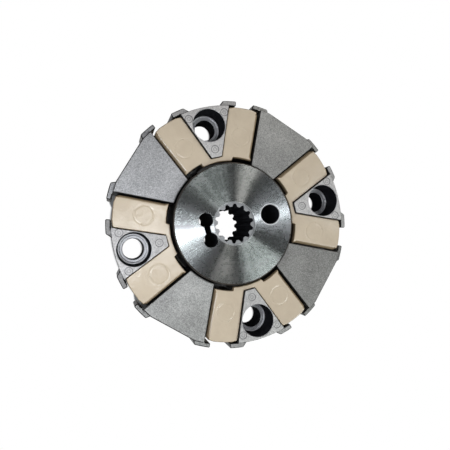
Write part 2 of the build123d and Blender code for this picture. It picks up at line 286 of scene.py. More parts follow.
class Network:
    """A node tree being wired."""

    def __init__(self, tree: bpy.types.NodeTree) -> None:
        """Takes an empty tree."""
        self.tree = tree

    def add(self, kind: str, inputs: dict | None = None, **settings: object) -> bpy.types.Node:
        """Adds a node.

        Args:
            kind: the node's type, without its ShaderNode prefix.
            inputs: values or constants for its inputs, by name or number.
            settings: properties of the node.

        Returns:
            The node.
        """
        node = self.tree.nodes.new(f"ShaderNode{kind}")
        for key, setting in settings.items():
            setattr(node, key, setting)
        for key, value in (inputs or {}).items():
            if isinstance(value, Value):
                self.tree.links.new(value.socket, node.inputs[key])
            else:
                node.inputs[key].default_value = value
        return node

    def value(self, kind: str, inputs: dict | None = None, output: int | str = 0,
              **settings: object) -> Value:
        """Adds a node and takes one of its outputs."""
        return Value(self, self.add(kind, inputs, **settings).outputs[output])

    def outputs(self, kind: str, inputs: dict | None = None, **settings: object) -> dict[str, Value]:
        """Adds a node and takes its outputs by name."""
        return {socket.name: Value(self, socket) for socket in self.add(kind, inputs, **settings).outputs}

    def math(self, operation: str, *values: Value | float) -> Value:
        """Result of a Math node."""
        return self.value("Math", dict(enumerate(values)), operation=operation)

    def larger(self, first: Value, second: Value) -> Value:
        """The larger of two values."""
        return self.math("MAXIMUM", first, second)

    def smaller(self, first: Value, second: Value) -> Value:
        """The smaller of two values."""
        return self.math("MINIMUM", first, second)

    def clamp(self, value: Value) -> Value:
        """A value held between 0 and 1."""
        return self.value("Clamp", {0: value})

    def remap(self, value: Value, low: float, high: float, to_low: float, to_high: float) -> Value:
        """A value carried from one range to another and clamped to it."""
        inputs = {"Value": value, "From Min": low, "From Max": high, "To Min": to_low, "To Max": to_high}
        return self.value("MapRange", inputs, clamp=True)

    def mix(self, share: Value, first: Value | Colour, second: Value | Colour) -> Value:
        """Colour mixed from two colours by a share."""
        ends = [(*colour, 1.0) if isinstance(colour, tuple) else colour for colour in (first, second)]
        return self.value("Mix", {0: share, 6: ends[0], 7: ends[1]}, 2, data_type="RGBA")

    def noise(self, where: Value, scale: Value | float, detail: float, roughness: float = 0.5,
              **inputs: float) -> Value:
        """Noise read at a place."""
        inputs |= {"Vector": where, "Scale": scale, "Detail": detail, "Roughness": roughness}
        return self.value("TexNoise", inputs)

    def coordinates(self) -> Value:
        """Place in the object's own coordinates."""
        return self.value("TexCoord", output="Object")

    def split(self, vector: Value) -> list[Value]:
        """The x, y and z of a vector."""
        return list(self.outputs("SeparateXYZ", {0: vector}).values())

    def flat(self, x: Value, y: Value) -> Value:
        """The level vector x, y."""
        return self.value("CombineXYZ", {0: x, 1: y})

    def length(self, x: Value, y: Value) -> Value:
        """Length of the level vector x, y."""
        return self.value("VectorMath", {0: self.flat(x, y)}, "Value", operation="LENGTH")

    def direction(self, x: Value, y: Value) -> Value:
        """The level vector x, y, one long."""
        return self.value("VectorMath", {0: self.flat(x, y)}, operation="NORMALIZE")


class GroupNetwork(Network):
    """A node group being wired, whose inputs and outputs are numbers."""

    def __init__(self, name: str, inputs: dict[str, float]) -> None:
        """Makes the group and its inputs.

        Args:
            name: name of the group.
            inputs: default value of each input by name.
        """
        super().__init__(bpy.data.node_groups.new(name, "ShaderNodeTree"))
        for key, value in inputs.items():
            self.socket(key, "INPUT").default_value = value
        entry = self.tree.nodes.new("NodeGroupInput")
        self.given = {key: Value(self, entry.outputs[key]) for key in inputs}

    def socket(self, name: str, in_out: str) -> bpy.types.NodeTreeInterfaceSocket:
        """Gives the group a socket for a number."""
        return self.tree.interface.new_socket(name, in_out=in_out, socket_type="NodeSocketFloat")

    def finished(self, **results: Value) -> bpy.types.NodeTree:
        """Makes an output for each result.

        Args:
            results: a value by the output's name.

        Returns:
            The group's tree.
        """
        for name in results:
            self.socket(name, "OUTPUT")
        end = self.tree.nodes.new("NodeGroupOutput")
        for name, value in results.items():
            self.tree.links.new(value.socket, end.inputs[name])
        return self.tree


def emptied(holder: bpy.types.Material | bpy.types.World) -> Network:
    """Clears the nodes of a new material or world.

    Args:
        holder: the material or world.

    Returns:
        Its network.
    """
    holder.use_nodes = True
    holder.node_tree.nodes.clear()
    return Network(holder.node_tree)


def make_cast_grain() -> bpy.types.NodeTree:
    """Grain of a casting: Tone is fine speckle plus broad clouds round 0.5, Height the skin's bumps.

    Returns:
        The group.
    """
    net = GroupNetwork("cast_grain", {"Grain Per Metre": 1200.0, "Speckle": 0.5, "Cloud": 0.3})
    given, where = net.given, net.coordinates()
    fine = net.noise(where, given["Grain Per Metre"], 3.0, 0.65)
    coarse = net.noise(where, given["Grain Per Metre"] * 0.36, 2.0)
    cloud = net.noise(where, 38.0, 3.0, 0.55)
    speck = fine * 0.8 + coarse * 0.2
    tone = (speck - 0.5) * given["Speckle"] + (cloud - 0.5) * given["Cloud"] + 0.5
    return net.finished(Tone=tone, Height=speck)


def make_turned_lines() -> bpy.types.NodeTree:
    """Lines left by a turning tool, streaks that run outwards, and patches of wear.

    The lines are noise read at the distance from the shaft axis, the streaks noise read at the direction
    from it. Worn patches, where the sum of a stretched noise and a broad one passes 0.455, lower Tone by
    Wear. The stretched noise raises Height by Scuff.

    Returns:
        The group.
    """
    net = GroupNetwork("turned_lines", {"Lines Per Metre": 2600.0, "Depth": 1.0, "Streaks": 1.0,
                                        "Wear": 0.36, "Scuff": 0.3})
    given, where = net.given, net.coordinates()
    x, y, _ = net.split(where)
    along = net.length(x, y) * given["Lines Per Metre"]
    lines = net.value("TexNoise", {"W": along, "Scale": 1.0, "Detail": 3.0, "Roughness": 0.7},
                      noise_dimensions="1D")
    streaks = net.noise(net.direction(x, y), 9.0, 4.0, 0.75)
    stretched = net.value("Mapping", {"Vector": where, "Rotation": (0.0, 0.0, 0.65),
                                      "Scale": (1.0, 1.9, 1.0)})
    scuffs = net.noise(stretched, 520.0, 3.0, 0.7)
    patches = net.noise(where, 70.0, 2.0, 0.6)
    worn = net.remap(scuffs * 0.6 + patches * 0.4, 0.455, 0.59, 0.0, 1.0)
    bright = (lines - 0.5) * given["Depth"] + (streaks - 0.5) * given["Streaks"]
    return net.finished(Tone=bright - worn * given["Wear"] + 0.8,
                        Height=lines * 0.3 + scuffs * given["Scuff"])


def make_soft_mottle() -> bpy.types.NodeTree:
    """Slow patches of tone over a finer cloud, as in poured elastomer or oiled steel.

    Returns:
        The group.
    """
    net = GroupNetwork("soft_mottle", {"Patches Per Metre": 60.0, "Strength": 0.5, "Ripples": 9.0})
    given, where = net.given, net.coordinates()
    patch = net.noise(where, given["Patches Per Metre"], 2.5, Distortion=0.6)
    fine = net.noise(where, given["Patches Per Metre"] * given["Ripples"], 2.0)
    return net.finished(Tone=(patch * 0.7 + fine * 0.3 - 0.5) * given["Strength"] + 0.5, Height=fine)


def make_joint_painted_shade() -> bpy.types.NodeTree:
    """Masks where shade is painted: edges, walls, joints and all that lies lower than 1.5 mm below Front.

    Edge falls as the size of the normal's height passes from 0.84 to 0.985, and Wall as it passes from 0.08
    to 0.35. Grime, the mask of painted shade in joints, is Edge, times the depth below Front as a share of
    Fall, times 1 within Rim and 0 from 1 mm past it, times a share that falls to 0 on faces that look
    outwards, away from the shaft axis. Within Rim, level faces that look up have Grime too where they lie
    deep, from 6 to 10 mm below Front and on: painted shade on the floors of the notches.

    Returns:
        The group.
    """
    net = GroupNetwork("joint_painted_shade", {"Front": 0.048, "Fall": 0.002, "Rim": 0.095})
    given, normal = net.given, net.value("TexCoord", output="Normal")
    x, y, z = net.split(net.coordinates())
    height = net.split(normal)[2]
    upright, below = abs(height), given["Front"] - z
    slanted, level = 0.84, 0.985
    edge = net.remap(upright, slanted, level, 1.0, 0.0)
    outwards = net.value("VectorMath", {0: net.direction(x, y), 1: normal}, "Value", operation="DOT_PRODUCT")
    hidden = net.remap(outwards, 0.45, 0.75, 1.0, 0.0)
    inside = net.clamp((given["Rim"] + 0.001 - net.length(x, y)) / 0.001)
    joint = edge * net.clamp(below / given["Fall"]) * inside * hidden
    floor = net.remap(height, slanted, level, 0.0, 1.0) * net.remap(below, 0.006, 0.01, 0.0, 1.0) * inside
    return net.finished(Edge=edge, Wall=net.remap(upright, 0.08, 0.35, 1.0, 0.0),
                        Grime=net.larger(joint, floor), Low=net.remap(below, 0.001, 0.0015, 0.0, 1.0))


def make_mould_marks() -> bpy.types.NodeTree:
    """Rings of the ejector marks on the axial inserts, painted shade in their wells, and painted highlights
    on lips of the hub.

    For Ring and Shade every quarter is folded onto one: u is the larger and v the smaller of the sizes of
    x and y. A ring is 1 minus the distance from its circle as a share of Width, clamped. Shade rises where
    the distance from the well's axis passes from Seat to 0.5 mm past it. Lip is 1 round the hub's puller
    hole and weaker round the recess of its bore, on the front alone, and fades 0.4 mm past each circle.

    Returns:
        The group.
    """
    net = GroupNetwork("mould_marks", {"Width": 0.0004, "Seat": 0.012})
    x, y, z = net.split(net.coordinates())
    u, v = net.larger(abs(x), abs(y)), net.smaller(abs(x), abs(y))

    def away(across: Value, along: Value, centre: tuple[float, float]) -> Value:
        """Distance from a centre that is given in millimetres."""
        return net.length(across - centre[0] * MM, along - centre[1] * MM)

    tip_mark, flank_mark, well = (62.5, 0.0), (90.5, 15.2), (82.5, 0.0)
    puller_hole, bore = (31.7, 0.0), (0.0, 0.0)
    mark = net.smaller(away(u, v, tip_mark), away(u, v, flank_mark))
    outer, inner = (net.clamp(1.0 - abs(mark - radius * MM) / net.given["Width"]) for radius in (3.0, 1.3))
    shade = net.clamp((away(u, v, well) - net.given["Seat"]) / (0.5 * MM))
    lips = [net.remap(away(x, y, centre), radius * MM, (radius + 0.4) * MM, share, 0.0)
            for centre, radius, share in ((puller_hole, 8.9, 1.0), (bore, 17.7, 0.5))]
    front = net.remap(z, 0.0495, 0.0505, 0.0, 1.0)
    return net.finished(Ring=net.larger(outer, inner * 0.5), Shade=shade, Lip=net.larger(*lips) * front)


@dataclass(frozen=True)
class Finish:
    """What a surface is made of: its colours, gloss and relief.

    Attributes:
        name: name of the material.
        dark: colour where the group's tone is low.
        light: colour where the tone is high.
        contrast: half width of the tone range that runs from dark to light.
        metallic: share of metal.
        smooth: roughness where the tone is high.
        rough: roughness where the tone is low.
        bump: height of the relief in millimetres.
        settings: constants for other sockets of the shader.
        pattern: settings for the inputs of the group that varies the tone.
        edge: painted shade on rounded edges, or None where they are like the rest.
        wall: painted shade on upright faces, or None where they are like the rest.
        joint: painted shade deep in a joint, or None where there is none.
        joint_place: settings for the joints' group.
        mark: output of the marks' group that this finish shows, or none.
        mark_colour: colour of those marks.
        mark_metal: factor on the share of metal of those marks.
        wall_polish: factor on the roughness of edges.
        wall_metal: factor on the share of metal of walls, which is 0 in joints.
        low: share of the edge's painted shade below the front.
    """

    name: str
    dark: Colour
    light: Colour
    contrast: float = 0.3
    metallic: float = 1.0
    smooth: float = 0.4
    rough: float = 0.6
    bump: float = 0.05
    settings: dict[str, float] = field(default_factory=dict)
    pattern: dict[str, float] = field(default_factory=dict)
    edge: Colour | None = None
    wall: Colour | None = None
    joint: Colour | None = None
    joint_place: dict[str, float] = field(default_factory=dict)
    mark: str = ""
    mark_colour: Colour = (0.0, 0.0, 0.0)
    mark_metal: float = 1.0
    wall_polish: float = 1.0
    wall_metal: float = 1.0
    low: float = 0.0

    def toned(self, name: str, dark: Colour, light: Colour, **changes: object) -> "Finish":
        """A finish like this one in other tones."""
        return replace(self, name=name, dark=dark, light=light, **changes)

    def make(self, group: bpy.types.NodeTree, joints: bpy.types.NodeTree,
             marks: bpy.types.NodeTree) -> bpy.types.Material:
        """Builds the material.

        Args:
            group: node group with outputs Tone and Height.
            joints: node group with outputs Edge, Wall, Grime and Low.
            marks: node group with outputs Ring, Shade and Lip.

        Returns:
            The material.
        """
        material = bpy.data.materials.new(self.name)
        net = emptied(material)
        effect = net.outputs("Group", self.pattern, node_tree=group)
        masks = net.outputs("Group", self.joint_place, node_tree=joints)
        tone = net.remap(effect["Tone"], 0.5 - self.contrast, 0.5 + self.contrast, 0.0, 1.0)
        colour, metal = net.mix(tone, self.dark, self.light), self.metallic
        roughness = net.remap(tone, 0.0, 1.0, self.rough, self.smooth)
        if self.mark:
            marked = net.value("Group", output=self.mark, node_tree=marks)
            colour = net.mix(marked, colour, self.mark_colour)
            if self.mark_metal < 1.0:
                metal = net.remap(marked, 0.0, 1.0, metal, metal * self.mark_metal)
        if self.wall_polish < 1.0:
            roughness = roughness * net.remap(masks["Edge"], 0.0, 1.0, 1.0, self.wall_polish)
        # Painted shade: the edge colour below the front, then on rounded edges, on upright faces and deep in
        # joints.
        if self.low:
            colour = net.mix(masks["Low"] * self.low, colour, self.edge)
        for mask, over in (("Edge", self.edge), ("Wall", self.wall), ("Grime", self.joint)):
            colour = net.mix(masks[mask], colour, over) if over else colour
        # Walls lose metal, and painted shade in joints loses all of it.
        if self.wall_metal < 1.0:
            bare = net.remap(masks["Wall"], 0.0, 1.0, self.metallic, self.metallic * self.wall_metal)
            metal = bare * (1.0 - masks["Grime"])
        relief = net.value("Bump", {"Height": effect["Height"], "Strength": 1.0, "Distance": self.bump * MM})
        inputs = {"Base Color": colour, "Roughness": roughness, "Normal": relief, "Metallic": metal,
                  **self.settings}
        if "Anisotropic" in self.settings:
            x, y, _ = net.split(net.coordinates())
            turned = net.value("VectorTransform", {0: net.flat(x, y)}, vector_type="VECTOR",
                               convert_from="OBJECT", convert_to="WORLD")
            inputs["Tangent"] = net.value("VectorMath", {0: turned}, operation="NORMALIZE")
        net.add("OutputMaterial", {0: net.value("BsdfPrincipled", inputs)})
        return material


@dataclass
class Finishes:
    """Every finish of the coupling.

    A field with cast in its name has the cast grain, one with turned the turned lines, the rest the mottle.
    """

    # Painted shade in the cast finishes: the dark edge colour on rounded edges and below the front, the
    # darker wall colour on upright faces, and the near-black joint colour deep in joints.
    axial_cast: Finish = Finish(
        "axial_cast", srgb(179, 176, 176), srgb(219, 215, 214), contrast=0.2, smooth=0.55, rough=0.64,
        bump=0.02, settings={"Specular IOR Level": 0.15},
        pattern={"Grain Per Metre": 1150.0, "Speckle": 1.3, "Cloud": 0.25},
        edge=srgb(36, 35, 35), wall=srgb(112, 110, 110), joint=srgb(16, 15, 13),
        joint_place={"Front": 0.0498, "Rim": 0.0985}, mark="Ring", mark_colour=srgb(104, 101, 104),
        wall_polish=0.7, wall_metal=0.5, low=0.26)
    radial_cast: Finish = axial_cast.toned(
        "radial_cast", srgb(151, 149, 148), srgb(207, 205, 203), smooth=0.54, bump=0.035,
        pattern={"Grain Per Metre": 1150.0, "Speckle": 1.4, "Cloud": 0.4}, edge=srgb(34, 33, 32),
        wall=srgb(108, 106, 105), joint_place={"Front": 0.0478, "Rim": 0.0985}, mark="", low=0.12)
    # The copies below, darker and lighter tones of the cast finishes, are painted shade and painted light for
    # inserts that lie in less and in more light.
    radial_cast_dull: Finish = radial_cast.toned(
        "radial_cast_dull", srgb(128, 126, 125), srgb(177, 174, 172), smooth=0.56, rough=0.66,
        wall=srgb(102, 100, 99))
    radial_cast_clear: Finish = radial_cast.toned(
        "radial_cast_clear", srgb(161, 160, 162), srgb(219, 217, 219))
    axial_cast_dull: Finish = axial_cast.toned(
        "axial_cast_dull", srgb(178, 175, 175), srgb(217, 213, 212), low=0.46)
    axial_cast_clear: Finish = axial_cast.toned(
        "axial_cast_clear", srgb(197, 194, 195), srgb(240, 236, 235))
    # Painted shade in the turned finishes: the dark edge colour, the turned steel's darker wall colour and
    # the near-black joint colour. The turned steel's Lip mark is a painted highlight, near white with little
    # metal, on the lips round the puller hole and the bore's recess.
    turned: Finish = Finish(
        "turned_steel", srgb(180, 176, 180), srgb(196, 202, 201), contrast=0.4, smooth=0.21, rough=0.45,
        bump=0.02, settings={"Anisotropic": 1.0}, pattern={"Lines Per Metre": 2400.0, "Depth": 0.8},
        edge=srgb(90, 86, 82), wall=srgb(130, 124, 116), joint=srgb(18, 16, 15),
        joint_place={"Front": 0.0485, "Rim": 0.06}, mark="Lip", mark_colour=srgb(248, 249, 252),
        mark_metal=0.2)
    turned_wall: Finish = turned.toned(
        "turned_wall", srgb(120, 117, 113), srgb(150, 146, 140), smooth=0.38, rough=0.55, settings={},
        wall=None, mark="")
    # Near-black painted shade for the walls of bores and wells.
    bore: Finish = Finish(
        "bore_painted_shade", srgb(13, 13, 16), srgb(40, 40, 45), metallic=0.0, smooth=0.8, rough=0.95, bump=0.01,
        settings={"Specular IOR Level": 0.08}, pattern={"Strength": 0.8})
    sleeve: Finish = Finish(
        "sleeve_steel", srgb(205, 204, 207), srgb(238, 237, 240), smooth=0.5, bump=0.006,
        pattern={"Strength": 0.6})
    # The seat's Shade mark is near-black painted shade round the outer edge of each well's seat.
    seat: Finish = replace(sleeve, name="machined_seat_painted_shade", mark="Shade", mark_colour=srgb(24, 23, 24))
    recess: Finish = sleeve.toned("recess_floor", srgb(150, 150, 153), srgb(192, 192, 194))
    # A painted highlight: near white with little metal, for the hub's inner chamfers.
    rim: Finish = sleeve.toned(
        "rim_painted_highlight", srgb(226, 226, 228), srgb(248, 248, 250), metallic=0.1, smooth=0.3, rough=0.4)
    screw: Finish = Finish(
        "black_screw", srgb(24, 24, 26), srgb(46, 46, 49), metallic=0.6, smooth=0.34, rough=0.5, bump=0.01,
        pattern={"Strength": 0.6})
    # Painted shade in the elastomer: the brown edge colour on its rounded edges and the near-black joint
    # colour deep in the gaps.
    elastomer: Finish = Finish(
        "cream_elastomer", srgb(213, 194, 171), srgb(230, 212, 189), contrast=0.2, metallic=0.0, smooth=0.12,
        rough=0.3, bump=0.2, settings={"Specular IOR Level": 0.8},
        pattern={"Patches Per Metre": 55.0, "Strength": 0.7, "Ripples": 4.0}, edge=srgb(164, 143, 116),
        joint=srgb(34, 26, 18), joint_place={"Front": 0.0455, "Fall": 0.004, "Rim": 0.0955})

    def build(self) -> dict[str, bpy.types.Material]:
        """Makes the node groups and every material.

        Returns:
            The materials by the names of their fields.
        """
        grain, lines, mottle = make_cast_grain(), make_turned_lines(), make_soft_mottle()
        masks = make_joint_painted_shade(), make_mould_marks()
        made = {}
        for key in (item.name for item in fields(self)):
            group = grain if "cast" in key else lines if "turned" in key else mottle
            made[key] = getattr(self, key).make(group, *masks)
        return made


@dataclass
class RigidParts:
    """The cast, turned and screwed pieces, dressed from smooth copies of their solids.

    The rises are heights of a unit normal, by which slanted and upright faces are told apart. The crease and
    the plane tolerance are in degrees, the rest in millimetres.
    """

    slant_rise: float = 0.4
    wall_rise: float = 0.5
    recess_tolerance: float = 0.3
    lip_width: float = 1.0
    crease: float = 32.0
    merge_distance: float = 0.001
    plane_tolerance: float = 0.4
    tall_wall: float = 1.2
    hub_inside: float = 46.0
    recess_height: float = 52.2
    well_distance: float = 82.5
    well_radius: float = 13.6
    seat_top: float = 40.0
    tip_reach: float = 60.0
    # Inserts that take a darker copy of their finish as painted shade, and those that take a lighter one as
    # painted light.
    painted_light_and_shade_copies: dict[str, str] = field(default_factory=lambda: {
        "radial_insert_2": "radial_cast_clear", "radial_insert_4": "radial_cast_dull",
        "axial_insert_1": "axial_cast_clear", "axial_insert_2": "axial_cast_clear",
        "axial_insert_3": "axial_cast_dull"})
    materials: dict[str, bpy.types.Material] = field(default_factory=dict)

    def copy_of(self, node: str, bevel: float) -> bpy.types.Object:
        """A merged copy of a node, with its sharp edges rounded.

        Args:
            node: name of the CAD node.
            bevel: width of the rounding in millimetres, or 0 for none.

        Returns:
            The copy, which stands for the node.
        """
        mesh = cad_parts[node].data.copy()
        tidy_mesh(mesh, self.merge_distance * MM, self.crease, self.plane_tolerance)
        piece = linked(f"{node}_dressed", mesh)
        if bevel > 0:
            mark_rounded_edges(mesh, self.crease, self.tall_wall)
            rounding = piece.modifiers.new("edge_round", "BEVEL")
            rounding.width = bevel * MM
            rounding.segments = 3
            rounding.limit_method = "WEIGHT"
            rounding.use_clamp_overlap = False
        weighting = piece.modifiers.new("flat_faces", "WEIGHTED_NORMAL")
        weighting.keep_sharp = True
        weighting.weight = 100
        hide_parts(node)
        return piece

    def dress_inside(self, piece: bpy.types.Object, node: str) -> None:
        """Gives the walls of bores and wells near-black painted shade, the seats inside them a machined
        finish with painted shade round their edge, and the hub's inner chamfers a painted highlight.

        Args:
            piece: the dressed copy.
            node: name of the CAD node that it stands for.
        """
        if not node.startswith(("hub", "axial")):
            return
        faces = piece.data.polygons
        centre, normal = np.empty((len(faces), 3)), np.empty((len(faces), 3))
        faces.foreach_get("center", centre.ravel())
        faces.foreach_get("normal", normal.ravel())
        plan, height, rise = centre[:, :2] / MM, centre[:, 2] / MM, normal[:, 2]
        level, looks_up = np.abs(rise) > LEVEL, rise > LEVEL
        slanted = (rise > self.slant_rise) & (rise < LEVEL)
        if node == "hub":
            inside = np.linalg.norm(plan, axis=1) < self.hub_inside
            low = (height < self.recess_height) | (np.abs(rise) < self.slant_rise)
            wall = inside & ~level & low
            recess = looks_up & (np.abs(height - self.recess_height) < self.recess_tolerance)
            chosen = {"bore": wall, "recess": recess, "rim": slanted & inside & ~wall,
                      "turned_wall": ~level & ~inside}
        else:
            middle = polar(self.well_distance, (int(node.rsplit("_", 1)[1]) - 1) * 90.0)
            away = np.linalg.norm(plan - middle, axis=1)
            hollow = np.einsum("fk,fk->f", plan - middle, normal[:, :2]) < 0
            in_well, in_lip = away < self.well_radius, away < self.well_radius + self.lip_width
            outside_tip = np.linalg.norm(plan, axis=1) > self.tip_reach
            chosen = {"bore": in_well & hollow & (np.abs(rise) < self.wall_rise) & outside_tip,
                      "seat": in_well & looks_up & (height < self.seat_top),
                      "sleeve": in_lip & slanted & hollow}
        index = np.zeros(len(faces), np.int32)
        for number, (finish, mask) in enumerate(chosen.items(), 1):
            piece.data.materials.append(self.materials[finish])
            index[mask] = number
        faces.foreach_set("material_index", index)

    def build(self) -> None:
        """Dresses every rigid node by the start of its name."""
        kinds = (
            ("hub", Body.HUB, "turned_steel", "turned", 0.15),
            ("clamp_screw", Body.HUB, "black_screw_steel", "screw", 0.1),
            ("radial_insert", Body.HUB, "radial_cast_aluminium", "radial_cast", 0.85),
            ("radial_sleeve", Body.HUB, "sleeve_steel", "sleeve", 0.1),
            ("radial_screw", Body.HUB, "black_screw_steel", "screw", 0.15),
            ("axial_insert", Body.FLYWHEEL, "axial_cast_aluminium", "axial_cast", 0.8),
            ("axial_sleeve", Body.FLYWHEEL, "sleeve_steel", "sleeve", 0.1),
        )
        for start, body, slot, material, bevel in kinds:
            for node in sorted(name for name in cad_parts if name.startswith(start)):
                piece = self.copy_of(node, bevel)
                finish = self.painted_light_and_shade_copies.get(node, material)
                rides(piece, body, self.materials[finish])
                self.dress_inside(piece, node)
                log.info("%s rides on %s", piece.name, body.value)


def line_point(direction: float, offset: float, along: float | np.ndarray) -> np.ndarray:
    """Point at a distance along a line, which passes the shaft axis at a signed offset to its left.

    Args:
        direction: angle of the line.
        offset: distance of the line from the axis, positive on its left.
        along: distance from the foot of the perpendicular.

    Returns:
        Points with x and y last.
    """
    ahead = polar(1.0, direction)
    left = polar(1.0, direction + 90.0)
    return np.multiply.outer(along, ahead) + offset * left


def arc_points(centre: np.ndarray, radius: float, start: float, end: float, shares: np.ndarray) -> np.ndarray:
    """Points on an arc whose angle runs from start to end."""
    return centre + polar(radius, start + (end - start) * shares)


def angle_of(vector: np.ndarray) -> float:
    """Angle of a flat vector from the X axis."""
    return math.degrees(math.atan2(vector[1], vector[0]))


def joined(*stretches: np.ndarray) -> np.ndarray:
    """Stretches of points in one row, without the doubles where they meet."""
    return np.concatenate([stretches[0]] + [stretch[1:] for stretch in stretches[1:]])


def resampled(points: np.ndarray, shares: np.ndarray) -> np.ndarray:
    """Points at shares of the length along a polyline.

    Args:
        points: corners of the polyline.
        shares: shares from 0 to 1.

    Returns:
        The points.
    """
    steps = np.linalg.norm(np.diff(points, axis=0), axis=1)
    length = np.concatenate([[0.0], np.cumsum(steps)])
    at = shares * length[-1]
    return np.stack([np.interp(at, length, points[:, axis]) for axis in (0, 1)], axis=-1)


def nearest(points: np.ndarray, chain: np.ndarray,
            values: np.ndarray | float) -> tuple[np.ndarray, np.ndarray]:
    """Distance from points to a polyline, and the value at the nearest place on it.

    Args:
        points: rows of x and y.
        chain: corners of the polyline.
        values: a value at each corner, read in between by a straight line, or one value for all.

    Returns:
        The distances and the values.
    """
    start, step = chain[:-1], np.diff(chain, axis=0)
    ahead = np.einsum("pck,ck->pc", points[:, None, :] - start[None], step)
    share = np.clip(ahead / np.einsum("ck,ck->c", step, step), 0.0, 1.0)
    gap = np.linalg.norm(points[:, None, :] - (start[None] + share[..., None] * step[None]), axis=-1)
    best = gap.argmin(axis=1)
    rows, values = np.arange(len(points)), np.broadcast_to(values, len(chain))
    low, high = values[:-1][best], values[1:][best]
    return gap[rows, best], low + (high - low) * share[rows, best]


def drop(distance: np.ndarray, radius: np.ndarray) -> np.ndarray:
    """Fall of a rounded edge beside a wall: radius - sqrt(radius^2 - (radius - distance)^2)."""
    inside = np.clip(radius - distance, 0.0, radius)
    return radius - np.sqrt(np.maximum(radius ** 2 - inside ** 2, 0.0))


